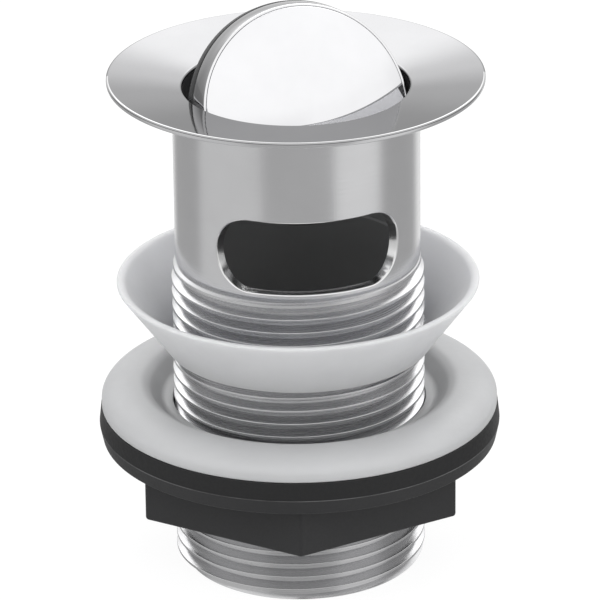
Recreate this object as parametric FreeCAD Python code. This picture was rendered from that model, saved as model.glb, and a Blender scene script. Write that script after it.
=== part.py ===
import FreeCAD, Part
import math
import os

# Slotted basin waste with a flip plug, standing on its tail with the plug tipped open.
# Millimetres, +Z up the barrel, origin at the middle of the tail's bottom edge, -Y to the viewer.

# Barrel: one brass casting with its flange, bore, thread and two overflow slots
body_height = 85.5
tube_radius = 20.27
tail_bore_radius = 18.25
thread_radius = 20.955
thread_length = 54.2
thread_run_out = 3.4
thread_pitch = 2.309
thread_depth = 1.479
first_crest = 2.15
tail_chamfer = 1.0
chamber_floor_above_thread = 0.2

# Flange: a thin rim, a shallow dish that drains to the mouth, a flat seat underneath
flange_radius = 30.9
rim_thickness = 0.95
dish_depth = 1.8
seat_width = 5.0
flange_thickness_at_seat = 1.9
rim_chamfer = 0.3
mouth_chamfer = 0.35

# Overflow slots: two, milled with a round cutter through opposite sides of the barrel
slot_height = 12.4
slot_half_angle = 46.9
slot_above_thread = 0.7
slot_bearing = 6.6

# Flip plug: a slice of a ball that turns on two pins across its middle
pivot_below_mouth = 5.15
pivot_bearing = 19.0
plug_open_angle = 65.0
plug_running_clearance = 0.1
seal_ball_radius = 18.45
seal_proud = 0.1
seal_width = 2.2
seal_inner_radius = 16.2
rim_face_height = 6.0
rim_edge_chamfer = 0.2
rim_land = 0.15
dome_rise = 3.6
dome_above_rim = 0.1
dome_skirt = 1.15
part_gap = 0.05
back_radius = 17.9
back_tip_radius = 17.0
back_depth = 3.6
back_plate = 2.2
back_edge_chamfer = 0.5
barrel_wall = 1.3

# Pins and spring inside the plug
pin_radius = 1.2
pin_engagement = 0.9
pin_tip_chamfer = 0.35
pin_head_radius = 2.0
pin_head_length = 2.0
pin_clearance = 0.06
spring_length = 12.0
spring_wire = 0.5
spring_coil_radius = 1.4
spring_turns = 3

# Two screws that hold the plug's back cover
screw_offset = 9.5
screw_shank_radius = 1.1
screw_head_radius = 2.1
screw_head_height = 1.2
screw_length = 6.0
screw_pilot_spare = 0.6
boss_wall = 1.0

# Washers and nut on the thread, from the bottom up
ring_clearance = 0.095
nut_bottom = 12.4
nut_hex_height = 9.4
nut_across_flats = 51.3
nut_corner_rounding = 0.8
nut_flange_thickness = 2.6
nut_flange_radius = 32.9
nut_flange_flare = 0.55
nut_bore_chamfer = 0.6
gasket_thickness = 3.0
gasket_taper = 0.35
seat_washer_setback = 0.1
seat_washer_height = 3.9
seat_washer_side = 1.2
seat_washer_crest_radius = 27.4
seat_washer_crest_width = 1.2
seat_washer_lip_radius = 24.9
seat_washer_lip_drop = 0.7
seat_washer_steps = 3
seat_ledge_radius = 22.8
seat_ledge_thickness = 0.9
cone_washer_bottom = 38.4
cone_neck_radius = 22.0
cone_rim_radius = 30.3
cone_height = 11.4
cone_wall = 2.1
cone_rim_chamfer = 0.35

# Places that follow from the sizes above
mouth_height = body_height - dish_depth
pivot_height = mouth_height - pivot_below_mouth
chamber_radius = seal_ball_radius + plug_running_clearance
chamber_floor = thread_length + chamber_floor_above_thread
slot_middle = thread_length + slot_above_thread + slot_height / 2
rim_ball_radius = seal_ball_radius - seal_proud
ring_bore = thread_radius + ring_clearance
core_radius = seal_inner_radius - part_gap
pin_tip = chamber_radius + pin_engagement
parting_radius = nut_flange_radius + nut_flange_flare
gasket_radius = parting_radius - gasket_taper
seat_washer_radius = gasket_radius - seat_washer_setback
cutter_start = chamber_radius / 2
cutter_overshoot = 1.0


def lathe(corners):
    """Turn an outline of (radius, height, chamfer) corners about the Z axis."""
    outline = []
    for number, corner in enumerate(corners):
        point = FreeCAD.Vector(corner[0], 0, corner[1])
        if len(corner) == 2:
            outline.append(point)
            continue
        for neighbour in (corners[number - 1], corners[(number + 1) % len(corners)]):
            towards = FreeCAD.Vector(neighbour[0], 0, neighbour[1]) - point
            outline.append(point + towards.normalize() * corner[2])
    face = Part.Face(Part.makePolygon(outline + outline[:1]))
    return face.revolve(FreeCAD.Vector(), FreeCAD.Vector(0, 0, 1), 360)


def rod(radius, start, end):
    """A round bar between two points."""
    start, end = FreeCAD.Vector(*start), FreeCAD.Vector(*end)
    return Part.makeCylinder(radius, (end - start).Length, start, end - start)


def ball(radius, height=0):
    """A ball centred on the Z axis, with its poles along X, clear of what it shapes."""
    return Part.makeSphere(radius, FreeCAD.Vector(0, 0, height), FreeCAD.Vector(1, 0, 0))


def bearing(degrees, radius, height=0):
    """A point at this radius, turned from the viewer's side towards +X."""
    angle = math.radians(degrees - 90)
    return (radius * math.cos(angle), radius * math.sin(angle), height)


def overflow_slot(degrees):
    """The cutter's sweep for one slot: a band of the ring with a round end on each side."""
    end_angle = slot_half_angle - math.degrees(math.asin(slot_height / 2 / tube_radius))
    low = slot_middle - slot_height / 2
    high = low + slot_height
    corners = [(cutter_start, low), (flange_radius, low), (flange_radius, high), (cutter_start, high)]
    wire = Part.makePolygon([FreeCAD.Vector(r, 0, z) for r, z in corners + corners[:1]])
    band = Part.Face(wire).revolve(FreeCAD.Vector(), FreeCAD.Vector(0, 0, 1), 2 * end_angle)
    band.rotate(FreeCAD.Vector(), FreeCAD.Vector(0, 0, 1), degrees - 90 - end_angle)
    for side in (-end_angle, end_angle):
        start = bearing(degrees + side, cutter_start, slot_middle)
        end = bearing(degrees + side, flange_radius, slot_middle)
        band = band.fuse(rod(slot_height / 2, start, end))
    return band


def thread_ribs():
    """The thread as plain rings of its pitch and depth: a root below each crest, then the run-out."""
    taper_start = thread_length - thread_run_out
    taper = (thread_radius - tube_radius) / thread_run_out
    corners = []
    for turn in range(int((thread_length - first_crest) / thread_pitch) + 1):
        crest = first_crest + turn * thread_pitch
        corners.append((thread_radius - thread_depth, crest - thread_pitch / 2))
        corners.append((thread_radius - taper * max(crest - taper_start, 0), crest))
    return corners


def waste_body():
    """Barrel, flange and threaded tail in one turned casting."""
    rim_bottom = body_height - rim_thickness
    seat_outer = tube_radius + seat_width
    slope = dish_depth / (flange_radius - chamber_radius)
    seat_height = mouth_height + slope * (seat_outer - chamber_radius) - flange_thickness_at_seat
    body = lathe([
        (tail_bore_radius, 0),
        (thread_radius - tail_chamfer, 0),
    ] + thread_ribs() + [
        (tube_radius, thread_length),
        (tube_radius, seat_height),
        (seat_outer, seat_height),
        (flange_radius, rim_bottom),
        (flange_radius, body_height, rim_chamfer),
        (chamber_radius, mouth_height, mouth_chamfer),
        (chamber_radius, chamber_floor),
        (tail_bore_radius, chamber_floor - (chamber_radius - tail_bore_radius)),
    ])
    for side in (0, 180):
        body = body.cut(overflow_slot(slot_bearing + side))
        socket_end = bearing(pivot_bearing + 90 + side, pin_tip + pin_clearance, pivot_height)
        socket_start = bearing(pivot_bearing + 90 + side, cutter_start, pivot_height)
        body = body.cut(rod(pin_radius + pin_clearance, socket_start, socket_end))
    return body


def placed_in_barrel(shape):
    """Tip a plug piece open and carry it to the pivot."""
    shape.rotate(FreeCAD.Vector(), FreeCAD.Vector(1, 0, 0), plug_open_angle)
    shape.rotate(FreeCAD.Vector(), FreeCAD.Vector(0, 0, 1), pivot_bearing)
    shape.translate(FreeCAD.Vector(0, 0, pivot_height))
    return shape


# Every plug piece below is drawn closed, with the pivot at the origin and the pins along X.
rim_face_radius = math.sqrt(rim_ball_radius ** 2 - rim_face_height ** 2)
dome_radius = rim_face_radius - rim_edge_chamfer - rim_land - part_gap
dome_edge_height = rim_face_height + dome_above_rim
dome_ledge = dome_edge_height - dome_skirt
dome_ball_radius = (dome_radius ** 2 + dome_rise ** 2) / (2 * dome_rise)
dome_ball_middle = dome_edge_height + dome_rise - dome_ball_radius


def plug_rim():
    """Chromed ring with a ball-shaped edge and a ledge for the dome."""
    ledge_radius = dome_radius + part_gap
    chamfer_reach = rim_edge_chamfer + seal_ball_radius - rim_face_radius
    ring = lathe([
        (seal_inner_radius, seal_width),
        (seal_ball_radius, seal_width),
        (seal_ball_radius, rim_face_height - chamfer_reach),
        (rim_face_radius - rim_edge_chamfer, rim_face_height),
        (ledge_radius, rim_face_height),
        (ledge_radius, dome_ledge),
        (seal_inner_radius, dome_ledge),
    ])
    return ring.common(Part.makeSphere(rim_ball_radius))


def plug_dome():
    """Solid dome that drops into the rim and sits on its ledge and on the core."""
    blank = rod(dome_radius, (0, 0, dome_ledge), (0, 0, dome_edge_height + dome_rise))
    return blank.common(ball(dome_ball_radius, dome_ball_middle))


def plug_seal():
    """Rubber ring between the rim and the back, with a notch over each pin."""
    top = seal_width - part_gap
    ring = lathe([
        (seal_inner_radius, 0),
        (seal_ball_radius, 0),
        (math.sqrt(seal_ball_radius ** 2 - top ** 2), top),
        (seal_inner_radius, top),
    ])
    return ring.cut(pin_channel())


def pin_channel():
    """Room for the spring, the pin heads and the pins, along X."""
    reach = seal_ball_radius + cutter_overshoot
    head_end = spring_length / 2 + pin_head_length + part_gap
    shanks = rod(pin_radius + pin_clearance, (-reach, 0, 0), (reach, 0, 0))
    return shanks.fuse(rod(pin_head_radius + pin_clearance, (-head_end, 0, 0), (head_end, 0, 0)))


def plug_core():
    """Moulded disc inside the rim, under the dome, with the upper half of the pin channel."""
    core = rod(core_radius, (0, 0, 0), (0, 0, dome_ledge)).cut(pin_channel())
    pilot_top = screw_length - back_depth + screw_pilot_spare
    for side in (-screw_offset, screw_offset):
        core = core.cut(rod(screw_shank_radius + part_gap, (0, side, 0), (0, side, pilot_top)))
    return core


def plug_back():
    """Back cover: a tapered plate with a half barrel over the pins and two screw bosses."""
    taper = (back_radius - back_tip_radius) / back_depth
    hull = lathe([
        (0, 0),
        (back_radius, 0),
        (back_tip_radius, -back_depth),
        (0, -back_depth),
    ])
    plate_rim = back_radius - taper * back_plate
    plate = lathe([
        (0, 0),
        (back_radius, 0),
        (plate_rim, -back_plate, back_edge_chamfer),
        (0, -back_plate),
    ])
    barrel = rod(pin_head_radius + barrel_wall, (-back_radius, 0, 0), (back_radius, 0, 0))
    cover = plate.fuse(barrel.common(hull))
    boss_radius = screw_head_radius + boss_wall
    for side in (-screw_offset, screw_offset):
        cover = cover.fuse(rod(boss_radius, (0, side, 0), (0, side, -back_depth)))
    cover = cover.cut(pin_channel())
    for side in (-screw_offset, screw_offset):
        head_seat = screw_head_height - back_depth
        cover = cover.cut(rod(screw_shank_radius + part_gap, (0, side, 0), (0, side, -back_depth)))
        pocket_radius = screw_head_radius + 2 * part_gap
        cover = cover.cut(rod(pocket_radius, (0, side, head_seat), (0, side, -back_depth)))
    return cover


def back_screws():
    """Two pan-head screws, drawn as one group, heads flush with the bosses."""
    screws = []
    for side in (-screw_offset, screw_offset):
        head = rod(screw_head_radius, (0, side, -back_depth), (0, side, screw_head_height - back_depth))
        shank = rod(screw_shank_radius, (0, side, -back_depth), (0, side, screw_length - back_depth))
        screws.append(head.fuse(shank))
    return Part.makeCompound(screws)


def pivot_pin(side):
    """Headed pin that the spring pushes out into the barrel's socket."""
    head_start = spring_length / 2
    head_end = head_start + pin_head_length
    head = rod(pin_head_radius, (side * head_start, 0, 0), (side * head_end, 0, 0))
    tip = pin_tip - pin_clearance
    shank = rod(pin_radius, (side * head_end, 0, 0), (side * (tip - pin_tip_chamfer), 0, 0))
    nose = Part.makeCone(
        pin_radius, pin_radius - pin_tip_chamfer, pin_tip_chamfer,
        FreeCAD.Vector(side * (tip - pin_tip_chamfer), 0, 0), FreeCAD.Vector(side, 0, 0))
    return head.fuse(shank).fuse(nose)


def pin_spring():
    """Compression spring between the two pin heads."""
    height = spring_length - spring_wire - 2 * part_gap
    path = Part.makeHelix(height / spring_turns, height, spring_coil_radius)
    half = spring_wire / 2
    corners = [(-half, -half), (half, -half), (half, half), (-half, half), (-half, -half)]
    section = Part.makePolygon([FreeCAD.Vector(spring_coil_radius + x, 0, z) for x, z in corners])
    coil = Part.Wire(path).makePipeShell([section], True, True)
    coil.translate(FreeCAD.Vector(0, 0, -height / 2))
    coil.rotate(FreeCAD.Vector(), FreeCAD.Vector(0, 1, 0), 90)
    return coil


def cone_washer():
    """Soft cup-shaped washer that seals under the basin, flared upwards."""
    slope = cone_height / (cone_rim_radius - cone_neck_radius)
    rim_inner = cone_rim_radius - cone_wall
    rim_height = cone_washer_bottom + cone_height
    neck_height = rim_height - slope * (rim_inner - ring_bore)
    return lathe([
        (ring_bore, cone_washer_bottom),
        (cone_neck_radius, cone_washer_bottom),
        (cone_rim_radius, rim_height, cone_rim_chamfer),
        (rim_inner, rim_height),
        (ring_bore, neck_height),
    ])


def seat_washer():
    """Thick washer with a rounded shoulder, whose middle dips to a thin ledge round the thread."""
    low = nut_bottom + nut_hex_height + nut_flange_thickness + gasket_thickness
    crest = low + seat_washer_height
    shoulder = []
    for step in range(seat_washer_steps + 1):
        turn = math.pi / 2 * step / seat_washer_steps
        out = (seat_washer_radius - seat_washer_crest_radius) * math.cos(turn)
        up = (seat_washer_height - seat_washer_side) * math.sin(turn)
        shoulder.append((seat_washer_crest_radius + out, low + seat_washer_side + up))
    return lathe([(ring_bore, low), (seat_washer_radius, low)] + shoulder + [
        (seat_washer_crest_radius - seat_washer_crest_width, crest),
        (seat_washer_lip_radius, crest - seat_washer_lip_drop),
        (seat_ledge_radius, low + seat_ledge_thickness),
        (ring_bore, low + seat_ledge_thickness),
    ])


def nut_gasket():
    """Flat black rubber washer between the nut and the domed washer."""
    low = nut_bottom + nut_hex_height + nut_flange_thickness
    return lathe([
        (ring_bore, low),
        (parting_radius, low),
        (gasket_radius, low + gasket_thickness),
        (ring_bore, low + gasket_thickness),
    ])


def back_nut():
    """Hexagon nut with its own flange, one corner towards the viewer."""
    corner_radius = nut_across_flats / 2 / math.cos(math.radians(30))
    corners = [FreeCAD.Vector(*bearing(60 * n, corner_radius, nut_bottom)) for n in range(7)]
    height = FreeCAD.Vector(0, 0, nut_hex_height)
    hexagon = Part.Face(Part.makePolygon(corners)).extrude(height)
    upright = [e for e in hexagon.Edges if e.BoundBox.ZLength > nut_hex_height / 2]
    hexagon = hexagon.makeFillet(nut_corner_rounding, upright)
    flange_low = nut_bottom + nut_hex_height
    flange_top = flange_low + nut_flange_thickness
    flange = lathe([
        (0, flange_low),
        (nut_flange_radius, flange_low),
        (parting_radius, flange_top),
        (0, flange_top),
    ])
    bore = lathe([
        (0, nut_bottom - cutter_overshoot),
        (ring_bore + nut_bore_chamfer + cutter_overshoot, nut_bottom - cutter_overshoot),
        (ring_bore, nut_bottom + nut_bore_chamfer),
        (ring_bore, flange_top + cutter_overshoot),
        (0, flange_top + cutter_overshoot),
    ])
    return hexagon.fuse(flange).removeSplitter().cut(bore)


def pieces():
    """Every separate piece by its name."""
    made = {
        "waste_body": waste_body(),
        "cone_washer": cone_washer(),
        "seat_washer": seat_washer(),
        "nut_gasket": nut_gasket(),
        "back_nut": back_nut(),
    }
    plug = {
        "plug_dome": plug_dome(),
        "plug_rim": plug_rim(),
        "plug_seal": plug_seal(),
        "plug_core": plug_core(),
        "plug_back": plug_back(),
        "back_screws": back_screws(),
        "pivot_pin_left": pivot_pin(-1),
        "pivot_pin_right": pivot_pin(1),
        "pin_spring": pin_spring(),
    }
    for name, shape in plug.items():
        made[name] = placed_in_barrel(shape)
    return made


os.makedirs("parts", exist_ok=True)
for name, shape in pieces().items():
    shape.exportStep(os.path.join("parts", name + ".step"))
    print(name, len(shape.Solids), "solid(s)", round(shape.Volume, 1), "mm3", shape.isValid())
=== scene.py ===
"""Looks of the slotted basin waste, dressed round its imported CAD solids. Metres, +Z up the barrel."""

import logging
import math
from dataclasses import dataclass
from enum import Enum

import bpy
from mathutils import Matrix, Vector, noise


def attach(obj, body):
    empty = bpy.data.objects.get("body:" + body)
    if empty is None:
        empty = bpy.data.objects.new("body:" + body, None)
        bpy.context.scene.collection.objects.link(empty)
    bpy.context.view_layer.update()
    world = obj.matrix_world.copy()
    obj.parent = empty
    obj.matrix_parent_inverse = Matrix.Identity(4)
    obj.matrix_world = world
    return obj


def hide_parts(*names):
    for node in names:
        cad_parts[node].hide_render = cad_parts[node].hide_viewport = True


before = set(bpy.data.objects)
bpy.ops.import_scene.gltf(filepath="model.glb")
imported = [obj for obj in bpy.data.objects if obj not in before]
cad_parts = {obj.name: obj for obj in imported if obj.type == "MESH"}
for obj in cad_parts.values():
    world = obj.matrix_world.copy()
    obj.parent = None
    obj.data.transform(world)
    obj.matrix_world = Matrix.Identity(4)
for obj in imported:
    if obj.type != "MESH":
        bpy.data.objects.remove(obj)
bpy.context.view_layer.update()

MM = 0.001  # metres
FINE = 256  # faces round a full turn
MERGE = 1e-6  # metres within which points are one
MID_NOISE = (0.3, 0.7)  # what soft noise mostly keeps to
INSET = 0.02  # millimetres kept inside the solids' outer faces
PIVOT_HEIGHT = 78.55  # millimetres from the tail's end to the plug's axis
PIVOT_BEARING = 19.0  # degrees from the +X axis to the plug's axis
WASHER_BORE = 21.05  # millimetres, clears the thread's crests
LOG = logging.getLogger("basin_waste")
Thing = bpy.types.Object
Socket = bpy.types.NodeSocket
Triple = tuple[float, float, float]


class Body(Enum):
    """The moving bodies of the part."""

    WASTE = "waste"
    PLUG = "plug"
    CONE = "cone_washer"
    STACK = "washer_stack"
    NUT = "nut"


@dataclass(frozen=True)
class Corner:
    """One corner of a turned outline, in millimetres, with its rounding."""

    radius: float
    height: float
    rounding: float = 0.0

    def point(self) -> Vector:
        """The corner in the XZ plane, in metres."""
        return Vector((self.radius * MM, 0.0, self.height * MM))


def rounded(corners: list[Corner], closed: bool, arc_steps: int = 5) -> list[Vector]:
    """Replace each rounded corner by an arc.

    Args:
        corners: the outline's corners in order.
        closed: whether the last corner joins the first.
        arc_steps: straight steps in each arc.

    Returns:
        The outline's points in metres.
    """
    points: list[Vector] = []
    count = len(corners)
    for number, corner in enumerate(corners):
        here = corner.point()
        if corner.rounding <= 0 or (not closed and number in (0, count - 1)):
            points.append(here)
            continue
        back = (corners[number - 1].point() - here).normalized()
        ahead = (corners[(number + 1) % count].point() - here).normalized()
        half = back.angle(ahead) / 2
        reach = corner.rounding * MM / math.tan(half)
        centre = here + (back + ahead).normalized() * (corner.rounding * MM / math.sin(half))
        first, last = here + back * reach - centre, here + ahead * reach - centre
        for step in range(arc_steps + 1):
            points.append(centre + first.slerp(last, step / arc_steps).normalized() * corner.rounding * MM)
    return points


def clear() -> None:
    """Leave edit mode and select nothing."""
    if bpy.context.object and bpy.context.object.mode != "OBJECT":
        bpy.ops.object.mode_set(mode="OBJECT")
    bpy.ops.object.select_all(action="DESELECT")


def pick(piece: Thing) -> None:
    """Make one piece the only selected and the active one."""
    clear()
    piece.select_set(True)
    bpy.context.view_layer.objects.active = piece


def opened(piece: Thing, action: str = "SELECT") -> None:
    """Open a piece's mesh, all of it selected.

    Args:
        piece: what to open.
        action: DESELECT to leave nothing selected.
    """
    pick(piece)
    bpy.ops.object.mode_set(mode="EDIT")
    bpy.ops.mesh.select_all(action=action)


def drawn(name: str, points: list[Vector]) -> Thing:
    """Draw a chain of edges, point after point.

    Args:
        name: the new object's name.
        points: the chain's points in metres.

    Returns:
        The new object, in edit mode.
    """
    clear()
    bpy.ops.mesh.primitive_plane_add(size=MM)
    piece = bpy.context.object
    piece.name = piece.data.name = name
    bpy.ops.object.mode_set(mode="EDIT")
    bpy.ops.mesh.select_mode(type="VERT")
    bpy.ops.mesh.select_all(action="SELECT")
    bpy.ops.mesh.merge(type="CENTER")
    bpy.ops.transform.translate(value=points[0])
    for before, after in zip(points, points[1:]):
        bpy.ops.mesh.extrude_vertices_move(TRANSFORM_OT_translate={"value": after - before})
    return piece


def turned(name: str, corners: list[Corner], steps: int = FINE, closed: bool = True) -> Thing:
    """Turn an outline on the lathe, about the Z axis.

    Args:
        name: the new object's name.
        corners: the outline, in order.
        steps: faces round the circle.
        closed: False for an outline whose ends lie on the axis.

    Returns:
        The turned piece, with its faces pointing outwards.
    """
    points = rounded(corners, closed)
    if closed:
        points.append(points[0].copy())
    piece = drawn(name, points)
    bpy.ops.mesh.select_all(action="SELECT")
    bpy.ops.mesh.remove_doubles(threshold=MERGE)
    bpy.ops.mesh.spin(steps=steps, angle=math.tau, center=(0, 0, 0), axis=(0, 0, 1))
    tidied()
    return piece


def tidied() -> None:
    """Merge what coincides in the mesh that is open, point its faces outwards and close it."""
    bpy.ops.mesh.select_all(action="SELECT")
    bpy.ops.mesh.remove_doubles(threshold=MERGE)
    bpy.ops.mesh.normals_make_consistent(inside=False)
    bpy.ops.object.mode_set(mode="OBJECT")


def modified(piece: Thing, kind: str, **settings: object) -> None:
    """Add one modifier and apply it.

    Args:
        piece: what to modify.
        kind: the modifier's type.
        settings: the modifier's own settings.
    """
    pick(piece)
    modifier = piece.modifiers.new(kind.lower(), kind)
    for name, value in settings.items():
        setattr(modifier, name, value)
    bpy.ops.object.modifier_apply(modifier=modifier.name)


def joined_solid(piece: Thing, tool: Thing, operation: str) -> None:
    """Cut a tool out of a piece, or weld it on, and put the tool away.

    Args:
        piece: what stays.
        tool: the other solid, which is used up.
        operation: DIFFERENCE, UNION or INTERSECT.
    """
    modified(piece, "BOOLEAN", object=tool, operation=operation, solver="EXACT")
    bpy.data.objects.remove(tool)


def smooth(piece: Thing, degrees: float, flat: bool = False) -> None:
    """Shade smooth.

    Args:
        piece: what to shade.
        degrees: edges sharper than this stay crisp.
        flat: True to keep broad faces flat up to their rounded edges.
    """
    pick(piece)
    bpy.ops.object.shade_smooth_by_angle(angle=math.radians(degrees))
    if flat:
        modified(piece, "WEIGHTED_NORMAL", mode="FACE_AREA", weight=100, keep_sharp=True)


def placed(piece: Thing, place: Matrix) -> None:
    """Carry a piece to its place and keep the place in its mesh.

    Args:
        piece: what to carry.
        place: where it goes.
    """
    piece.matrix_world = place
    pick(piece)
    bpy.ops.object.transform_apply(location=True, rotation=True, scale=True)


class Nodes:
    """A material's node tree, with short calls for what every finish needs."""

    def __init__(self, name: str, tree: bpy.types.NodeTree | None = None) -> None:
        """Start a material with its shader and output, or work in a tree that exists.

        Args:
            name: the material's name.
            tree: the tree to work in, or None for a new material's.
        """
        self.tree = tree
        if tree is None:
            self.material = bpy.data.materials.new(name)
            self.material.use_nodes = True
            self.tree = self.material.node_tree
            self.shader = self.tree.nodes["Principled BSDF"]

    def add(self, kind: str, **inputs: object) -> bpy.types.Node:
        """Add a node.

        Args:
            kind: the node's type.
            inputs: values of inputs by name, with _ for a space.

        Returns:
            The node.
        """
        node = self.tree.nodes.new(kind)
        for name, value in inputs.items():
            node.inputs[name.replace("_", " ")].default_value = value
        return node

    def link(self, source: Socket, target: Socket) -> None:
        """Join two sockets."""
        self.tree.links.new(source, target)

    def filled(self, target: Socket, value: object) -> None:
        """Feed an input from a socket, or set it to a number.

        Args:
            target: the input.
            value: a socket or a number.
        """
        if isinstance(value, Socket):
            self.link(value, target)
        else:
            target.default_value = value

    def math(self, operation: str, first: object, second: object = 0.0) -> Socket:
        """One step of arithmetic on sockets or numbers.

        Args:
            operation: the Math node's operation.
            first: a socket or a number.
            second: a socket or a number.

        Returns:
            The result's socket.
        """
        node = self.add("ShaderNodeMath")
        node.operation = operation
        self.filled(node.inputs[0], first)
        self.filled(node.inputs[1], second)
        return node.outputs[0]

    def reach(self, x: Socket, y: Socket) -> Socket:
        """The length of a flat vector.

        Args:
            x: its first part.
            y: its second part.

        Returns:
            The length's socket.
        """
        squares = self.math("ADD", self.math("MULTIPLY", x, x), self.math("MULTIPLY", y, y))
        return self.math("SQRT", squares)

    def place(self) -> Socket:
        """Object coordinates."""
        return self.add("ShaderNodeTexCoord").outputs["Object"]

    def grain(self, scale: float, detail: float = 3.0) -> Socket:
        """Soft noise through the piece.

        Args:
            scale: waves per metre, roughly.
            detail: octaves.

        Returns:
            A value around one half.
        """
        node = self.add("ShaderNodeTexNoise", Scale=scale, Detail=detail, Roughness=0.6)
        self.link(self.place(), node.inputs["Vector"])
        return node.outputs[0]

    def ranged(self, value: Socket, low: float, high: float,
               source: tuple[float, float] = (0.0, 1.0)) -> Socket:
        """Map a value from one range to another.

        Args:
            value: the socket to map.
            low: the result at the source's start.
            high: the result at the source's end.
            source: the source's range.

        Returns:
            The mapped socket.
        """
        node = self.add("ShaderNodeMapRange", From_Min=source[0], From_Max=source[1],
                        To_Min=low, To_Max=high)
        self.link(value, node.inputs["Value"])
        return node.outputs[0]

    def blended(self, share: Socket, first: object, second: object) -> Socket:
        """Mix two levels.

        Args:
            share: the second one's share.
            first: a socket or a number.
            second: a socket or a number.

        Returns:
            The mixed socket.
        """
        mix = self.add("ShaderNodeMix")
        self.link(share, mix.inputs["Factor"])
        self.filled(mix.inputs[2], first)
        self.filled(mix.inputs[3], second)
        return mix.outputs[0]

    def either(self, share: Socket, first: bpy.types.Node, second: bpy.types.Node) -> bpy.types.Node:
        """Mix two shaders.

        Args:
            share: the second one's share.
            first: a shader node.
            second: a shader node.

        Returns:
            The mixing node.
        """
        mix = self.add("ShaderNodeMixShader")
        for source, target in zip((share, first.outputs[0], second.outputs[0]), mix.inputs):
            self.link(source, target)
        return mix

    def tinted(self, value: Socket, dark: tuple, light: tuple) -> None:
        """Let the colour wander between two tones.

        Args:
            value: a socket from 0 to 1.
            dark: the tone at 0.
            light: the tone at 1.
        """
        mix = self.add("ShaderNodeMix")
        mix.data_type = "RGBA"
        self.link(value, mix.inputs["Factor"])
        mix.inputs[6].default_value = (*dark, 1)
        mix.inputs[7].default_value = (*light, 1)
        self.link(mix.outputs[2], self.shader.inputs["Base Color"])

    def bumped(self, height: Socket, strength: float, distance: float) -> None:
        """Let the surface look raised, without changing its shape.

        Args:
            height: a socket from 0 to 1.
            strength: how much of it shows.
            distance: metres that a height of 1 stands for.
        """
        bump = self.add("ShaderNodeBump", Strength=strength, Distance=distance)
        self.link(height, bump.inputs["Height"])
        self.link(bump.outputs[0], self.shader.inputs["Normal"])


def shade(tone: Triple, share: float) -> Triple:
    """A tone made darker or lighter by a share."""
    return tuple(min(part * share, 1.0) for part in tone)


@dataclass(frozen=True)
class PlatedMetal:
    """Chrome plate, or bare metal, with the fine rings that the lathe leaves."""

    name: str
    tone: Triple
    roughness: float
    ring_depth: float = 0.0
    ring_scale: float = 2600.0
    grazing: float = 1.0
    across: float = 1.3
    cloud_scale: float = 90.0
    cloud: tuple[float, float] = (0.97, 1.02)
    wear: float = 0.15

    def made(self) -> bpy.types.Material:
        """Build the material.

        Returns:
            The new material.
        """
        nodes = Nodes(self.name)
        nodes.shader.inputs["Metallic"].default_value = 1.0
        nodes.shader.inputs["Specular Tint"].default_value = (*[self.grazing] * 3, 1)
        wander = nodes.ranged(nodes.grain(self.cloud_scale), 0.0, 1.0, MID_NOISE)
        nodes.tinted(wander, *(shade(self.tone, part) for part in self.cloud))
        split = nodes.add("ShaderNodeSeparateXYZ")
        nodes.link(nodes.place(), split.inputs[0])
        x, y, z = split.outputs
        path = nodes.math("ADD", nodes.math("MULTIPLY", nodes.reach(x, y), self.across), z)
        rings = nodes.add("ShaderNodeTexNoise", Scale=self.ring_scale, Detail=2.0, Roughness=0.7)
        rings.noise_dimensions = "1D"
        nodes.link(path, rings.inputs["W"])
        rough = nodes.ranged(rings.outputs[0], self.roughness * (1 - self.wear),
                             self.roughness * (1 + self.wear), MID_NOISE)
        nodes.link(rough, nodes.shader.inputs["Roughness"])
        if self.ring_depth:
            nodes.bumped(rings.outputs[0], 1.0, self.ring_depth * MM)
        return nodes.material


@dataclass(frozen=True)
class Moulded:
    """Moulded plastic or rubber with a faint cloudiness and a fine grain."""

    name: str
    tone: Triple
    roughness: float
    grain_scale: float = 1800.0
    grain_depth: float = 0.02
    cloud: float = 0.04
    soft: float = 0.0
    shine: float = 0.5
    cloud_scale: float = 70.0
    wear: float = 0.1
    soft_reach: Triple = (0.004, 0.004, 0.0042)

    def made(self) -> bpy.types.Material:
        """Build the material.

        Returns:
            The new material.
        """
        nodes = Nodes(self.name)
        wander = nodes.ranged(nodes.grain(self.cloud_scale), 0.0, 1.0, MID_NOISE)
        nodes.tinted(wander, shade(self.tone, 1 - self.cloud), shade(self.tone, 1 + self.cloud))
        fine = nodes.grain(self.grain_scale, 2.0)
        rough = nodes.ranged(fine, self.roughness * (1 - self.wear),
                             self.roughness * (1 + self.wear), MID_NOISE)
        nodes.link(rough, nodes.shader.inputs["Roughness"])
        nodes.shader.inputs["Specular IOR Level"].default_value = self.shine
        nodes.bumped(fine, 0.5, self.grain_depth * MM)
        if self.soft:
            nodes.shader.inputs["Subsurface Weight"].default_value = self.soft
            nodes.shader.inputs["Subsurface Radius"].default_value = self.soft_reach
            nodes.shader.inputs["Subsurface Scale"].default_value = 1.0
        return nodes.material


Finish = PlatedMetal | Moulded

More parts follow.
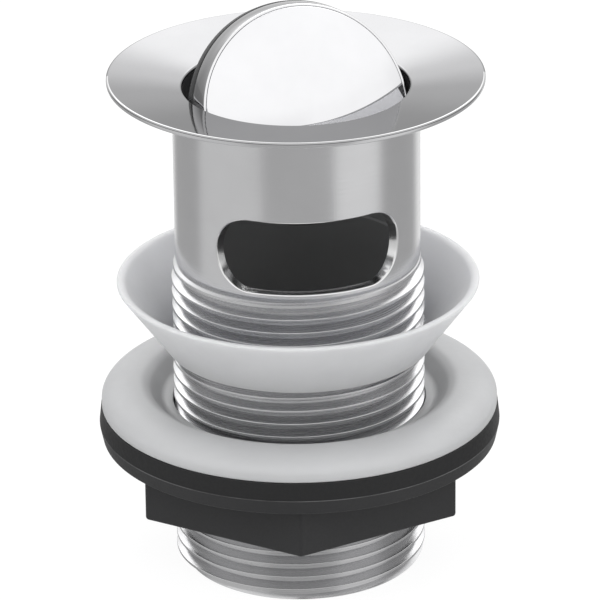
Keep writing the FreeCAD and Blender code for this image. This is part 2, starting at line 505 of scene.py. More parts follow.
SATIN = PlatedMetal("satin_chrome", (0.755, 0.755, 0.765), 0.22, 0.0042)
FLANGE = PlatedMetal("flange_chrome", (0.30, 0.30, 0.305), 0.06, 0.0004, grazing=0.7)
# painted highlight: the plug ring's rounded corner
PAINTED_RING_HIGHLIGHT = PlatedMetal("painted_highlight_ring_edge", (0.93, 0.93, 0.94), 0.06)
# painted highlight: the flange rim's front half is plated lighter than its back half
PAINTED_RIM_HIGHLIGHT = PlatedMetal("painted_highlight_rim_edge", (0.5, 0.5, 0.505), 0.07)
# painted shade: the flange rim's side band is plated dark
PAINTED_RIM_SHADE = PlatedMetal("painted_shade_rim_side", (0.22, 0.22, 0.225), 0.1)
# painted light: near-white upper chamber wall in front, standing in for light and its reflection in the
# dome
LIT_WALL = Moulded("lit_wall", (0.86, 0.86, 0.87), 0.3, 700.0, 0.02)
# painted shade: near-black upper chamber wall behind, standing in for shade
SHADED_WALL = Moulded("shaded_wall", (0.04, 0.04, 0.041), 0.45, 700.0, 0.02)
THREAD_METAL = PlatedMetal("thread_chrome", (0.64, 0.64, 0.648), 0.26, 0.002)
MILLED = PlatedMetal("milled_edge", (0.88, 0.88, 0.88), 0.2, 0.004)
# painted shade: the plated bore is painted a dull dark grey for the shade inside the barrel
PAINTED_SHADE_BORE = Moulded("painted_shade_bore", (0.25, 0.25, 0.253), 0.6, 700.0, 0.03)
PLUG_MIRROR = PlatedMetal("plug_mirror", (0.95, 0.95, 0.965), 0.03)
# painted shade: the plug ring's side, darker than its corner though one chrome
PAINTED_RING_SHADE = PlatedMetal("painted_shade_ring_side", (0.36, 0.36, 0.365), 0.08, 0.001)
STEEL = PlatedMetal("pin_steel", (0.62, 0.62, 0.63), 0.25)
SEAL = Moulded("smooth_seal", (0.018, 0.018, 0.019), 0.45, 1500.0, 0.01)
CORE = Moulded("moulded_core", (0.03, 0.03, 0.032), 0.5)
BACK = Moulded("moulded_back", (0.60, 0.61, 0.62), 0.45)
WASHER = Moulded("washer_polythene", (0.585, 0.588, 0.594), 0.42, 900.0, 0.03, 0.03, 0.9)
SEAT_WASHER = Moulded("seat_washer_polythene", (0.495, 0.498, 0.504), 0.45, 900.0, 0.03, 0.03, 0.3)
GASKET = Moulded("dull_gasket", (0.0125, 0.0125, 0.013), 0.58, 1600.0, 0.03, shine=0.35)
NUT = Moulded("moulded_nut", (0.024, 0.024, 0.025), 0.52, 2200.0, 0.03, shine=0.35)
# painted highlight: a lighter band on the nut flange's top outer edge, under the gasket
PAINTED_PARTING_HIGHLIGHT = Moulded("painted_highlight_parting_edge", (0.06, 0.06, 0.061), 0.5, 900.0, 0.03, 0.95)


class Piece:
    """What every sub-assembly shares: finishes made once, and the report of each piece."""

    def finish(self, kind: Finish) -> bpy.types.Material:
        """The material of a finish, made once."""
        if kind.name not in bpy.data.materials:
            kind.made()
        return bpy.data.materials[kind.name]

    def coat(self, piece: Thing, kind: Finish) -> None:
        """Give the whole piece one finish."""
        piece.data.materials.clear()
        piece.data.materials.append(self.finish(kind))

    def report(self, piece: Thing, body: Body, slot: str, *nodes: str) -> None:
        """Set a piece on its body in place of its CAD nodes, and log it.

        Args:
            piece: the finished piece.
            body: the body that carries it.
            slot: not used.
            nodes: the CAD nodes that it stands for.
        """
        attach(piece, body.value)
        if nodes:
            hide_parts(*nodes)
        LOG.info("%s: %d faces on %s", piece.name, len(piece.data.polygons), body.value)


@dataclass
class Barrel(Piece):
    """The turned and plated body: tail, thread, barrel, slots and flange."""

    height: float = 85.5
    tube: float = 20.27
    bore: float = 18.25
    chamber: float = 18.55
    crest: float = 20.955
    pitch: float = 2.30909
    depth: float = 1.479
    crest_at_front: float = 2.15
    thread_end: float = 54.2
    run_out: float = 3.4
    tail_chamfer: float = 1.0
    flange: float = 30.9
    rim: float = 0.95
    dish: float = 1.8
    seat: float = 5.0
    seat_thickness: float = 1.9
    slot_height: float = 12.4
    slot_half_angle: float = 46.9
    slot_middle: float = 61.1
    slot_bearing: float = 6.6
    slot_flare: tuple = ((-6.27, 0.0), (-0.32, 0.0), (-0.12, 0.06), (0.0, 0.2), (2.33, 2.8))
    bend_cuts: int = 40
    bend_step: float = 0.26
    pivot_height: float = PIVOT_HEIGHT
    pivot_bearing: float = PIVOT_BEARING
    socket_radius: float = 1.26
    socket_end: float = 19.51
    drill_length: float = 6.0
    chamber_lit: float = 73.0
    mouth_band: float = 0.6
    rim_band: float = 0.5
    wall_band: float = 0.12
    slot_band: float = 0.4
    bore_facing: float = 0.3
    slot_facing: float = 0.86
    rim_facing: float = 0.25
    dish_facing: float = 0.2
    floor_lift: float = 0.2
    foot_depth: float = 0.2
    flank_angle: float = 27.5
    crest_rounding: float = 0.13
    lead_turns: int = 2
    ridge_top: float = 0.6
    ridge_sink: float = 0.05
    thread_turns: int = 26
    thread_steps: int = 128

    def build(self) -> None:
        """Make the whole body and dress it."""
        core = self.core()
        joined_solid(core, self.thread(), "UNION")
        for cutter in (self.slot_cutter, self.socket_cutter):
            for side in (0, 180):
                joined_solid(core, cutter(side), "DIFFERENCE")
        opened(core)
        bpy.ops.mesh.remove_doubles(threshold=MERGE)
        bpy.ops.object.mode_set(mode="OBJECT")
        smooth(core, 30.0, True)
        self.dress(core)
        self.report(core, Body.WASTE, "body_chrome", "waste_body")

    def core(self) -> Thing:
        """Turn everything but the thread's ridge, in one piece.

        Returns:
            The body without its ridge.
        """
        root = self.crest - self.depth
        mouth = self.height - self.dish
        slope = self.dish / (self.flange - self.chamber)
        seat_outer = self.tube + self.seat
        seat_height = mouth + slope * (seat_outer - self.chamber) - self.seat_thickness
        floor = self.thread_end + self.floor_lift
        return turned("waste_shell", [
            Corner(self.bore, INSET, 0.12),
            Corner(root, INSET, 0.1),
            Corner(root, self.thread_end - self.run_out),
            Corner(self.tube, self.thread_end, 0.4),
            Corner(self.tube, seat_height, 0.5),
            Corner(seat_outer, seat_height, 0.3),
            Corner(self.flange, self.height - self.rim, 0.35),
            Corner(self.flange, self.height, 0.32),
            Corner(self.chamber, mouth, 0.45),
            Corner(self.chamber, self.chamber_lit),
            Corner(self.chamber, floor, 0.1),
            Corner(self.bore, floor - (self.chamber - self.bore), 0.1),
        ])

    def thread(self) -> Thing:
        """Screw the ridge up from its outline, fade it out at the top and cut it off at the tail.

        Returns:
            The ridge.
        """
        root = self.crest - self.depth
        foot = root - self.foot_depth
        flank = math.tan(math.radians(self.flank_angle))
        half = self.pitch / 4
        pitch_line = root + self.depth / 2
        start = self.crest_at_front + self.pitch / 4 - self.lead_turns * self.pitch
        foot_half = half + (pitch_line - foot) * flank
        crest_half = half - (self.crest - pitch_line) * flank
        outline = rounded([
            Corner(foot, start - foot_half),
            Corner(self.crest, start - crest_half, self.crest_rounding),
            Corner(self.crest, start + crest_half, self.crest_rounding),
            Corner(foot, start + foot_half),
        ], False, 3)
        ridge = drawn("thread_ridge", outline)
        bpy.ops.mesh.select_all(action="SELECT")
        bpy.ops.mesh.edge_face_add()
        bpy.ops.object.mode_set(mode="OBJECT")
        modified(ridge, "SCREW", axis="Z", angle=math.tau, screw_offset=self.pitch * MM,
                 iterations=self.thread_turns, steps=self.thread_steps, render_steps=self.thread_steps,
                 use_merge_vertices=False)
        self.fade(ridge, foot + INSET)
        opened(ridge)
        for level, keep_above in ((0.0, True), (self.thread_end + self.ridge_top, False)):
            bpy.ops.mesh.select_all(action="SELECT")
            bpy.ops.mesh.bisect(plane_co=(0, 0, level * MM), plane_no=(0, 0, 1), use_fill=True,
                                threshold=MERGE / 10, clear_inner=keep_above, clear_outer=not keep_above)
        tidied()
        return ridge

    def fade(self, ridge: Thing, least: float) -> None:
        """Press the ridge down along its run-out and along the tail's chamfer.

        Args:
            ridge: the ridge.
            least: the radius that no part of it is pressed under.
        """
        taper_start = self.thread_end - self.run_out
        for vertex in ridge.data.vertices:
            reach = math.hypot(vertex.co.x, vertex.co.y)
            level = vertex.co.z / MM
            limit = self.crest
            if level < self.tail_chamfer:
                limit = self.crest - self.tail_chamfer + max(level, -0.5)
            elif level > taper_start:
                fall = self.crest - self.tube + self.ridge_sink
                limit = self.crest - fall * (level - taper_start) / self.run_out
            limit = max(limit, least) * MM
            if reach > limit:
                vertex.co.x *= limit / reach
                vertex.co.y *= limit / reach

    def slot_cutter(self, side: float) -> Thing:
        """A round-ended bar wrapped to the barrel, flared where it breaks the outer surface.

        Args:
            side: degrees added to the slot's bearing.

        Returns:
            The cutter.
        """
        small = self.slot_height / 2
        half_run = math.radians(self.slot_half_angle) * self.tube - small
        layers = [(self.tube + out, small + wider) for out, wider in self.slot_flare]
        cutter = None
        for reach, radius in layers:
            clear()
            bpy.ops.mesh.primitive_circle_add(vertices=96, radius=radius * MM, location=(0, 0, reach * MM))
            ring = bpy.context.object
            bpy.ops.object.transform_apply(location=True)
            for vertex in ring.data.vertices:
                vertex.co.x += math.copysign(half_run * MM, vertex.co.x)
            if cutter is None:
                cutter = ring
                continue
            cutter.select_set(True)
            bpy.context.view_layer.objects.active = cutter
            bpy.ops.object.join()
        cutter.name = f"slot_cutter_{side}"
        opened(cutter)
        bpy.ops.mesh.bridge_edge_loops()
        bpy.ops.object.mode_set(mode="OBJECT")
        self.close_ends(cutter, layers[0][0], layers[-1][0])
        self.wrap(cutter, side)
        return cutter

    def close_ends(self, cutter: Thing, low: float, high: float) -> None:
        """Cap the cutter's two ends and divide its long runs so that they can bend.

        Args:
            cutter: the cutter, still flat.
            low: the height of its inner end.
            high: the height of its outer end.
        """
        for level in (low, high):
            opened(cutter, "DESELECT")
            bpy.ops.object.mode_set(mode="OBJECT")
            for vertex in cutter.data.vertices:
                vertex.select = abs(vertex.co.z - level * MM) < MERGE
            bpy.ops.object.mode_set(mode="EDIT")
            bpy.ops.mesh.select_mode(type="VERT")
            bpy.ops.mesh.edge_face_add()
            bpy.ops.object.mode_set(mode="OBJECT")
        opened(cutter)
        for step in range(-self.bend_cuts, self.bend_cuts + 1):
            bpy.ops.mesh.select_all(action="SELECT")
            bpy.ops.mesh.bisect(plane_co=(step * self.bend_step * MM, 0, 0), plane_no=(1, 0, 0),
                                threshold=MERGE / 10)
        tidied()

    def wrap(self, cutter: Thing, side: float) -> None:
        """Bend the flat cutter round the barrel and lift it to the slot.

        Args:
            cutter: the cutter.
            side: degrees added to the slot's bearing.
        """
        turn = math.radians(self.slot_bearing + side - 90)
        for vertex in cutter.data.vertices:
            angle = turn + vertex.co.x / (self.tube * MM)
            reach, level = vertex.co.z, self.slot_middle * MM + vertex.co.y
            vertex.co = (reach * math.cos(angle), reach * math.sin(angle), level)
        opened(cutter)
        tidied()

    def socket_cutter(self, side: float) -> Thing:
        """A drill for one blind pin socket, from inside the barrel.

        Args:
            side: degrees added to the pins' bearing.

        Returns:
            The drill.
        """
        turn = math.radians(self.pivot_bearing + side)
        outward = Vector((math.cos(turn), math.sin(turn), 0.0))
        clear()
        bpy.ops.mesh.primitive_cylinder_add(vertices=32, radius=self.socket_radius * MM,
                                            depth=self.drill_length * MM)
        drill = bpy.context.object
        reach = (self.socket_end - self.drill_length / 2) * MM
        middle = outward * reach + Vector((0, 0, self.pivot_height * MM))
        place = Matrix.Translation(middle) @ outward.to_track_quat("Z", "Y").to_matrix().to_4x4()
        placed(drill, place)
        return drill

    def dress(self, shell: Thing) -> None:
        """Give the flange, barrel, thread, slot walls and bore their finishes, with painted light and shade
        on the bore, chamber wall and flange rim.

        Args:
            shell: the finished body.
        """
        kinds = (SATIN, FLANGE, THREAD_METAL, PAINTED_SHADE_BORE, MILLED, PAINTED_RIM_HIGHLIGHT, LIT_WALL, SHADED_WALL, PAINTED_RIM_SHADE)
        shell.data.materials.clear()
        for kind in kinds:
            shell.data.materials.append(self.finish(kind))
        for face in shell.data.polygons:
            face.material_index = kinds.index(self.face_finish(face))

    def face_finish(self, face: bpy.types.MeshPolygon) -> Finish:
        """Choose a face's finish by its place and direction, painted light and shade included.

        Args:
            face: a face of the body.

        Returns:
            The finish.
        """
        reach = math.hypot(face.center.x, face.center.y) / MM
        level = face.center.z / MM
        outward = (face.normal.x * face.center.x + face.normal.y * face.center.y) / (reach * MM)
        lip = self.height - self.dish - self.mouth_band
        in_front = face.center.y < 0
        if reach < self.chamber + self.wall_band and outward < self.bore_facing and level < lip:
            if level < self.chamber_lit:
                # painted shade inside the barrel
                return PAINTED_SHADE_BORE
            # painted light in front, painted shade behind, on one and the same wall
            return LIT_WALL if in_front else SHADED_WALL
        # painted light and shade: rim side faces painted dark, front half of the rim painted lighter than
        # the back
        if reach > self.flange - self.rim_band and level > self.height - self.rim_band:
            if face.normal.z < self.rim_facing:
                return PAINTED_RIM_SHADE
            return PAINTED_RIM_HIGHLIGHT if in_front else FLANGE
        if level > lip and (face.normal.z > self.dish_facing or reach < self.chamber + self.rim_band):
            return FLANGE
        if level < self.thread_end - self.slot_band:
            return THREAD_METAL
        beside_slot = abs(level - self.slot_middle) < self.slot_height / 2 + self.slot_band
        if outward < self.slot_facing and beside_slot:
            return MILLED
        return SATIN


@dataclass
class FlipPlug(Piece):
    """The tipping plug: dome, chromed ring, seal, core, back cover, screws, pins and spring."""

    open_angle: float = 65.0
    bearing: float = PIVOT_BEARING
    pivot_height: float = PIVOT_HEIGHT
    ball: float = 18.35
    seal_ball: float = 18.45
    seal_width: float = 2.2
    seal_inner: float = 16.2
    face: float = 6.0
    face_radius: float = 17.34
    dome_radius: float = 16.94
    dome_edge: float = 6.1
    dome_ledge: float = 4.95
    dome_rise: float = 3.6
    corner: float = 0.2
    gap: float = 0.05
    arc_steps: int = 40
    side_step: float = 0.36
    seal_belly: float = 0.55
    back_depth: float = 3.6
    pin_notch: float = 1.26
    screw_offset: float = 9.5
    screw_head: float = 2.1
    screw_head_height: float = 1.2
    screw_shank: float = 1.1
    screw_length: float = 6.0
    cross_size: Triple = (2.5, 0.6, 1.3)
    twin_turn: float = 0.6

    def build(self) -> None:
        """Make every plug piece closed about its pivot, then tip it open."""
        self.dome()
        self.ring()
        self.seal()
        self.screws()
        for node, kind in (("plug_core", CORE), ("plug_back", BACK), ("pivot_pin_left", STEEL),
                           ("pivot_pin_right", STEEL), ("pin_spring", STEEL)):
            self.coat(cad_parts[node], kind)
            LOG.info("%s: CAD node in %s", node, kind.name)

    def place(self) -> Matrix:
        """From the closed plug at the origin to the open plug in the barrel.

        Returns:
            The transform.
        """
        tip = Matrix.Rotation(math.radians(self.open_angle), 4, "X")
        turn = Matrix.Rotation(math.radians(self.bearing), 4, "Z")
        return Matrix.Translation((0, 0, self.pivot_height * MM)) @ turn @ tip

    def dome(self) -> None:
        """The mirror dome, its edge just rounded over."""
        ball = (self.dome_radius ** 2 + self.dome_rise ** 2) / (2 * self.dome_rise)
        middle = self.dome_edge + self.dome_rise - ball
        edge_angle = math.asin(self.dome_radius / ball)
        turns = [edge_angle * (1 - step / self.arc_steps) for step in range(2, self.arc_steps + 1)]
        arc = [Corner(ball * math.sin(turn), middle + ball * math.cos(turn)) for turn in turns]
        outline = [Corner(0, self.dome_ledge), Corner(self.dome_radius, self.dome_ledge),
                   Corner(self.dome_radius, self.dome_edge, 0.3)] + arc
        dome = turned("dome", outline, closed=False)
        placed(dome, self.place())
        smooth(dome, 40)
        self.coat(dome, PLUG_MIRROR)
        self.report(dome, Body.PLUG, "plug_chrome", "plug_dome")

    def ring(self) -> None:
        """The chromed ring with its ball-shaped side painted darker as shade and its rounded corner painted
        as a highlight.
        """
        ledge = self.dome_radius + self.gap
        side = [Corner(math.sqrt(self.ball ** 2 - level ** 2), level)
                for level in (self.seal_width + self.side_step * step for step in range(1, 10))]
        ring = turned("chrome_ring", [
            Corner(self.seal_inner, self.seal_width),
            Corner(math.sqrt(self.ball ** 2 - self.seal_width ** 2), self.seal_width, 0.12)] + side + [
            Corner(self.face_radius - INSET, self.face - INSET, self.corner),
            Corner(ledge, self.face - INSET, 0.1),
            Corner(ledge, self.dome_ledge),
            Corner(self.seal_inner, self.dome_ledge),
        ])
        self.coat(ring, PAINTED_RING_SHADE)
        ring.data.materials.append(self.finish(PAINTED_RING_HIGHLIGHT))
        # painted highlight on the corner faces, painted shade on the side
        for face in ring.data.polygons:
            face.material_index = int(face.center.z > (self.face - self.corner) * MM)
        placed(ring, self.place())
        smooth(ring, 40, True)
        self.report(ring, Body.PLUG, "plug_chrome", "plug_rim")

    def seal(self) -> None:
        """The black sealing ring, notched over the two pins."""
        top = self.seal_width - self.gap
        seal = turned("seal", [
            Corner(self.seal_inner, 0),
            Corner(self.seal_ball - INSET, 0, 0.25),
            Corner(self.seal_ball - INSET, top * self.seal_belly),
            Corner(math.sqrt(self.seal_ball ** 2 - top ** 2), top, 0.25),
            Corner(self.seal_inner, top),
        ])
        clear()
        bpy.ops.mesh.primitive_cylinder_add(vertices=48, radius=self.pin_notch * MM, depth=40 * MM)
        rod = bpy.context.object
        placed(rod, Matrix.Rotation(math.pi / 2, 4, "Y"))
        joined_solid(seal, rod, "DIFFERENCE")
        placed(seal, self.place())
        smooth(seal, 40)
        self.coat(seal, SEAL)
        self.report(seal, Body.PLUG, "seal_rubber", "plug_seal")

    def screws(self) -> None:
        """Two pan-head screws with a cross recess, as one group."""
        low = -self.back_depth
        screw = turned("back_screw_pair", [
            Corner(0, low),
            Corner(self.screw_head, low, 0.25),
            Corner(self.screw_head, low + self.screw_head_height, 0.1),
            Corner(self.screw_shank, low + self.screw_head_height),
            Corner(self.screw_shank, low + self.screw_length, 0.3),
            Corner(0, low + self.screw_length),
        ], 48, False)
        for turn in (0, 1):
            clear()
            bpy.ops.mesh.primitive_cube_add(size=MM)
            bar = bpy.context.object
            place = Matrix.Translation((0, 0, low * MM)) @ Matrix.Rotation(turn * math.pi / 2, 4, "Z")
            placed(bar, place @ Matrix.Diagonal((*self.cross_size, 1)))
            joined_solid(screw, bar, "DIFFERENCE")
        pick(screw)
        bpy.ops.object.duplicate()
        twin = bpy.context.object
        aside = Vector((0, self.screw_offset * MM, 0))
        placed(screw, Matrix.Translation(aside))
        placed(twin, Matrix.Translation(-aside) @ Matrix.Rotation(self.twin_turn, 4, "Z"))
        pick(screw)
        twin.select_set(True)
        bpy.ops.object.join()
        placed(screw, self.place())
        smooth(screw, 35)
        self.coat(screw, STEEL)
        self.report(screw, Body.PLUG, "steel", "back_screws")


@dataclass
class ConeWasher(Piece):
    """Soft flared washer that seals under the basin."""

    bore: float = WASHER_BORE
    bottom: float = 38.4
    neck: float = 22.0
    rim: float = 30.3
    height: float = 11.4
    wall: float = 2.1
    rim_lip: float = 0.6
    waviness: float = 0.12
    ripples: tuple = ((2, 3.7, 1.0), (7, 9.1, 0.35))

    def build(self) -> None:
        """Turn the washer, let its rim wander a little, and dress it."""
        slope = self.height / (self.rim - self.neck)
        inner = self.rim - self.wall
        top = self.bottom + self.height
        washer = turned("soft_cone_washer", [
            Corner(self.bore, self.bottom, 0.2),
            Corner(self.neck, self.bottom, 0.3),
            Corner(self.rim, top, 0.3),
            Corner(inner + self.rim_lip, top, 1.5),
            Corner(self.bore, top - slope * (inner - self.bore), 0.25),
        ])
        for vertex in washer.data.vertices:
            share = max(vertex.co.z / MM - self.bottom, 0) / self.height
            turn = math.atan2(vertex.co.y, vertex.co.x)
            drop = sum(abs(noise.noise((waves * math.cos(turn), waves * math.sin(turn), layer))) * weight
                       for waves, layer, weight in self.ripples)
            vertex.co.z -= drop * self.waviness * share ** 2 * MM
        smooth(washer, 40)
        self.coat(washer, WASHER)
        self.report(washer, Body.CONE, "washer_plastic", "cone_washer")


@dataclass
class NutStack(Piece):
    """Domed washer, black gasket and flanged hexagon nut."""

    bore: float = WASHER_BORE
    nut_bottom: float = 12.4
    hex_height: float = 9.4
    across_flats: float = 51.3
    corner_rounding: float = 0.8
    edge_rounding: float = 0.35
    bore_chamfer: float = 1.6
    drill_past: float = 1.0
    highlight_width: float = 0.12
    highlight_height: float = 0.16
    flange_thickness: float = 2.6
    flange_sink: float = 1.1
    flange: float = 32.9
    parting: float = 33.45
    gasket_thickness: float = 3.0
    gasket_top: float = 33.1
    washer: float = 33.0
    washer_height: float = 3.9
    washer_side: float = 1.2
    shoulder_steps: int = 12
    crest: float = 27.4
    crest_width: float = 1.2
    lip: float = 24.9
    lip_drop: float = 0.7
    ledge: float = 22.8
    ledge_thickness: float = 0.9

    def build(self) -> None:
        """Make the three pieces from the top down."""
        self.seat_washer()
        self.gasket()
        self.nut()

    def seat_washer(self) -> None:
        """The thick washer with its rounded shoulder and funnel."""
        low = self.nut_bottom + self.hex_height + self.flange_thickness + self.gasket_thickness
        crest = low + self.washer_height
        shoulder = []
        for step in range(self.shoulder_steps + 1):
            turn = math.pi / 2 * step / self.shoulder_steps
            out = (self.washer - self.crest) * math.cos(turn)
            up = (self.washer_height - self.washer_side) * math.sin(turn)
            shoulder.append(Corner(self.crest + out, low + self.washer_side + up))
        washer = turned("domed_seat_washer", [
            Corner(self.bore, low, 0.1),
            Corner(self.washer, low, 0.25)] + shoulder + [
            Corner(self.crest - self.crest_width, crest, 2.5),
            Corner(self.lip, crest - self.lip_drop, 3.0),
            Corner(self.ledge, low + self.ledge_thickness, 1.6),
            Corner(self.bore, low + self.ledge_thickness, 0.2),
        ])
        smooth(washer, 40)
        self.coat(washer, SEAT_WASHER)
        self.report(washer, Body.STACK, "washer_plastic", "seat_washer")

    def gasket(self) -> None:
        """The black rubber washer."""
        low = self.nut_bottom + self.hex_height + self.flange_thickness
        gasket = turned("black_gasket", [
            Corner(self.bore, low, 0.1),
            Corner(self.parting, low, 0.12),
            Corner(self.gasket_top, low + self.gasket_thickness, 0.2),
            Corner(self.bore, low + self.gasket_thickness, 0.1),
        ])
        smooth(gasket, 40, True)
        self.coat(gasket, GASKET)
        self.report(gasket, Body.STACK, "gasket_rubber", "nut_gasket")

    def nut(self) -> None:
        """The hexagon and its flange, moulded in one, with a chamfered bore."""
        flange_low = self.nut_bottom + self.hex_height
        flange_top = flange_low + self.flange_thickness
        hexagon = self.hexagon()
        flange = turned("nut_flange", [
            Corner(0, flange_low),
            Corner(self.flange, flange_low, 0.3),
            Corner(self.parting, flange_top, 0.12),
            Corner(0, flange_top),
        ], closed=False)
        joined_solid(hexagon, flange, "UNION")
        low, high = self.nut_bottom - self.drill_past, flange_top + self.drill_past
        bore = turned("nut_bore", [
            Corner(0, low),
            Corner(self.bore + self.bore_chamfer, low),
            Corner(self.bore, low + self.bore_chamfer),
            Corner(self.bore, high),
            Corner(0, high),
        ], closed=False)
        joined_solid(hexagon, bore, "DIFFERENCE")
        smooth(hexagon, 35, True)
        self.coat(hexagon, NUT)
        # painted highlight along the flange's top outer edge
        hexagon.data.materials.append(self.finish(PAINTED_PARTING_HIGHLIGHT))
        for face in hexagon.data.polygons:
            reach = math.hypot(face.center.x, face.center.y) / MM
            level = face.center.z / MM
            if reach > self.parting - self.highlight_width and level > flange_top - self.highlight_height:
                face.material_index = 1
        self.report(hexagon, Body.NUT, "nut_plastic", "back_nut")

    def hexagon(self) -> Thing:
        """The nut's six sides, their corners and edges rounded, reaching a little into the flange.

        Returns:
            The solid hexagon.
        """
        corner = self.across_flats / 2 / math.cos(math.radians(30))
        clear()
        tall = self.hex_height + self.flange_sink
        bpy.ops.mesh.primitive_cylinder_add(vertices=6, radius=corner * MM, depth=tall * MM,
                                            location=(0, 0, (self.nut_bottom + tall / 2) * MM))
        hexagon = bpy.context.object
        hexagon.name = hexagon.data.name = "hexagon_nut"
        bpy.ops.object.transform_apply(location=True)
        opened(hexagon, "DESELECT")
        bpy.ops.object.mode_set(mode="OBJECT")
        for edge in hexagon.data.edges:
            first, last = (hexagon.data.vertices[n].co for n in edge.vertices)
            edge.select = abs(first.z - last.z) > MM
        bpy.ops.object.mode_set(mode="EDIT")
        bpy.ops.mesh.select_mode(type="EDGE")
        bpy.ops.mesh.bevel(offset=self.corner_rounding * MM * math.tan(math.radians(30)), segments=4,
                           affect="EDGES")
        tidied()
        modified(hexagon, "BEVEL", width=self.edge_rounding * MM, segments=3, limit_method="ANGLE",
                 angle_limit=math.radians(60))
        return hexagon


@dataclass(frozen=True)
class Lamp:
    """A square soft light: its place and side in metres, and its power."""

    name: str
    place: Triple
    side: float
    energy: float


@dataclass
class Studio:
    """Floor, soft light, the surroundings that metal shows, and the camera."""

    focal: float = 304.27
    camera_at: Triple = (0.000283, -0.7719, 0.37774)
    tilt: float = 66.705
    roll: float = -0.653
    lamps: tuple = (Lamp("key_light", (-0.42, -0.68, 0.85), 0.7, 4.0),
                    Lamp("fill_light", (0.55, -0.6, 0.65), 0.6, 2.2),
                    Lamp("back_light", (0.25, 0.75, 0.85), 0.7, 2.6))
    aim_height: float = 0.045
    floor_glow: float = 0.88
    floor_veil: float = 0.18
    plain_light: float = 0.76
    panel_light: float = 3.2
    low_bands: tuple = ((-180, 0.95), (-165, 0.9), (-150, 0.42), (-108, 0.42), (-98, 0.64), (-38, 0.64),
                        (-28, 0.46), (30, 0.46), (40, 0.78), (78, 0.78), (90, 0.42), (135, 0.42),
                        (155, 0.9), (180, 0.95))
    front_rise: tuple = ((-90, 0.0), (-5, 0.0), (20, 0.8), (30, 1.0), (90, 1.0))
    back_rise: tuple = ((-90, 0.0), (-14, 0.0), (-6, 1.0), (90, 1.0))
    panel_levels: tuple = ((-90, 0.26), (8, 0.28), (17, 0.41), (23, 0.62), (30, 0.94), (50, 0.96),
                           (66, 0.2), (90, 0.2))
    panel_edge: tuple[float, float] = (0.68, 0.92)

    def build(self) -> None:
        """Set up everything that isn't part of the object."""
        self.floor()
        self.world()
        for lamp in self.lamps:
            self.hang(lamp)
        self.camera()

    def floor(self) -> None:
        """A pale floor, white to the camera but for the object's soft shadow."""
        clear()
        bpy.ops.mesh.primitive_plane_add(size=6.0)
        floor = bpy.context.object
        floor.name = "floor"
        nodes = Nodes("floor_paint")
        nodes.shader.inputs["Base Color"].default_value = (0.8, 0.8, 0.8, 1)
        nodes.shader.inputs["Roughness"].default_value = 0.9
        glow = nodes.add("ShaderNodeEmission", Color=(1, 1, 1, 1), Strength=self.floor_glow)
        veil = nodes.add("ShaderNodeBsdfDiffuse", Color=(*[self.floor_veil] * 3, 1))
        both = nodes.add("ShaderNodeAddShader")
        nodes.link(glow.outputs[0], both.inputs[0])
        nodes.link(veil.outputs[0], both.inputs[1])
        path = nodes.add("ShaderNodeLightPath")
        mix = nodes.either(path.outputs["Is Camera Ray"], nodes.shader, both)
        nodes.link(mix.outputs[0], nodes.tree.nodes["Material Output"].inputs["Surface"])
        floor.data.materials.append(nodes.material)
        floor.visible_glossy = False

    def world(self) -> None:
        """White behind the object, plain soft light on it, and a pale studio in its reflections."""
        world = bpy.data.worlds.new("studio")
        bpy.context.scene.world = world
        world.use_nodes = True
        world.node_tree.nodes.clear()
        nodes = Nodes("studio", world.node_tree)
        path = nodes.add("ShaderNodeLightPath")
        plain = nodes.add("ShaderNodeBackground", Color=(0.99, 0.995, 1.0, 1), Strength=self.plain_light)
        seen = nodes.add("ShaderNodeBackground", Color=(1, 1, 1, 1), Strength=1.0)
        shown = nodes.add("ShaderNodeBackground", Strength=1.0)
        nodes.link(self.surroundings(nodes), shown.inputs["Color"])
        mirrored = nodes.math("MAXIMUM", path.outputs["Is Glossy Ray"], path.outputs["Is Transmission Ray"])
        lit = nodes.either(mirrored, plain, shown)
        both = nodes.either(path.outputs["Is Camera Ray"], lit, seen)
        nodes.link(both.outputs[0], nodes.add("ShaderNodeOutputWorld").inputs["Surface"])

    def surroundings(self, nodes: Nodes) -> Socket:
        """The studio that metal shows.

        In front it is white, with soft upright bands near the floor. Behind it is pale low down, and a
        bright panel stands above.

        Args:
            nodes: the world's nodes.

        Returns:
            The colour socket.
        """
        split = nodes.add("ShaderNodeSeparateXYZ")
        nodes.link(nodes.add("ShaderNodeTexCoord").outputs["Generated"], split.inputs[0])
        x, y, z = split.outputs
        turn = nodes.math("ARCTAN2", x, nodes.math("MULTIPLY", y, -1.0))
        bands = self.ramp(nodes, nodes.ranged(turn, 0.0, 1.0, (-math.pi, math.pi)),
                          [((angle + 180) / 360, level) for angle, level in self.low_bands])
        lift = nodes.ranged(z, 0.0, 1.0, (-1.0, 1.0))
        front = self.ramp(nodes, lift, self.by_height(self.front_rise))
        level = self.ramp(nodes, lift, self.by_height(self.panel_levels))
        panel = nodes.math("MULTIPLY", level, self.panel_light)
        back = self.ramp(nodes, lift, self.by_height(self.back_rise))
        ahead = nodes.blended(front, bands, 1.0)
        behind = nodes.blended(back, bands, panel)
        backward = nodes.math("DIVIDE", y, nodes.reach(x, y))
        return nodes.blended(nodes.ranged(backward, 0.0, 1.0, self.panel_edge), ahead, behind)

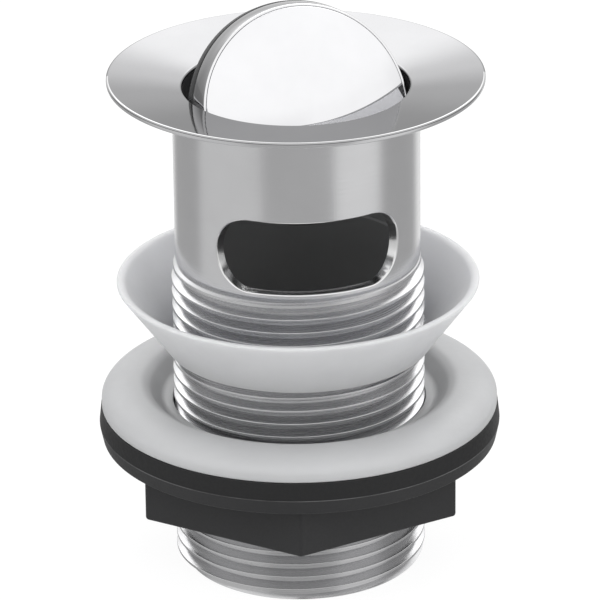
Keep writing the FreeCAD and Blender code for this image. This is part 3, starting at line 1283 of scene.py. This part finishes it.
    @staticmethod
    def by_height(levels: tuple[tuple[float, float], ...]) -> list[tuple[float, float]]:
        """Elevations in degrees as places on a ramp over the sine of the elevation."""
        return [((math.sin(math.radians(angle)) + 1) / 2, level) for angle, level in levels]

    @staticmethod
    def ramp(nodes: Nodes, value: Socket,
             stops: list[tuple[float, float]]) -> Socket:
        """A smooth grey ramp.

        Args:
            nodes: the nodes to add it to.
            value: the socket that drives it.
            stops: pairs of a place from 0 to 1 and a grey level.

        Returns:
            The level's socket.
        """
        ramp = nodes.add("ShaderNodeValToRGB")
        nodes.link(value, ramp.inputs[0])
        ramp.color_ramp.interpolation = "EASE"
        elements = ramp.color_ramp.elements
        while len(elements) < len(stops):
            elements.new(0.5)
        for element, (place, level) in zip(elements, stops):
            element.position = place
            element.color = (level, level, level, 1)
        return ramp.outputs[0]

    def hang(self, lamp: Lamp) -> None:
        """Hang a light so that it faces the object.

        Args:
            lamp: the light.
        """
        clear()
        bpy.ops.object.light_add(type="AREA", location=lamp.place)
        light = bpy.context.object
        light.name = lamp.name
        light.data.size = lamp.side
        light.data.energy = lamp.energy
        aim = Vector((0, 0, self.aim_height)) - Vector(lamp.place)
        light.rotation_euler = aim.to_track_quat("-Z", "Y").to_euler()
        light.visible_glossy = False

    def camera(self) -> None:
        """The camera at the photograph's angle."""
        clear()
        bpy.ops.object.camera_add(location=self.camera_at)
        camera = bpy.context.object
        upright = Matrix.Rotation(math.radians(self.tilt), 4, "X")
        roll = Matrix.Rotation(math.radians(self.roll), 4, "Z")
        camera.matrix_world = Matrix.Translation(self.camera_at) @ upright @ roll
        camera.data.lens = self.focal
        camera.data.sensor_width = 36.0
        camera.data.clip_end = 20.0
        bpy.context.scene.camera = camera


def main() -> None:
    """Build the sub-assemblies in order, then the studio."""
    logging.basicConfig(level=logging.INFO, format="%(message)s")
    bpy.context.scene.view_settings.view_transform = "Standard"
    for part in (Barrel(), FlipPlug(), ConeWasher(), NutStack()):
        part.build()
    Studio().build()


if __name__ == "__main__":
    main()
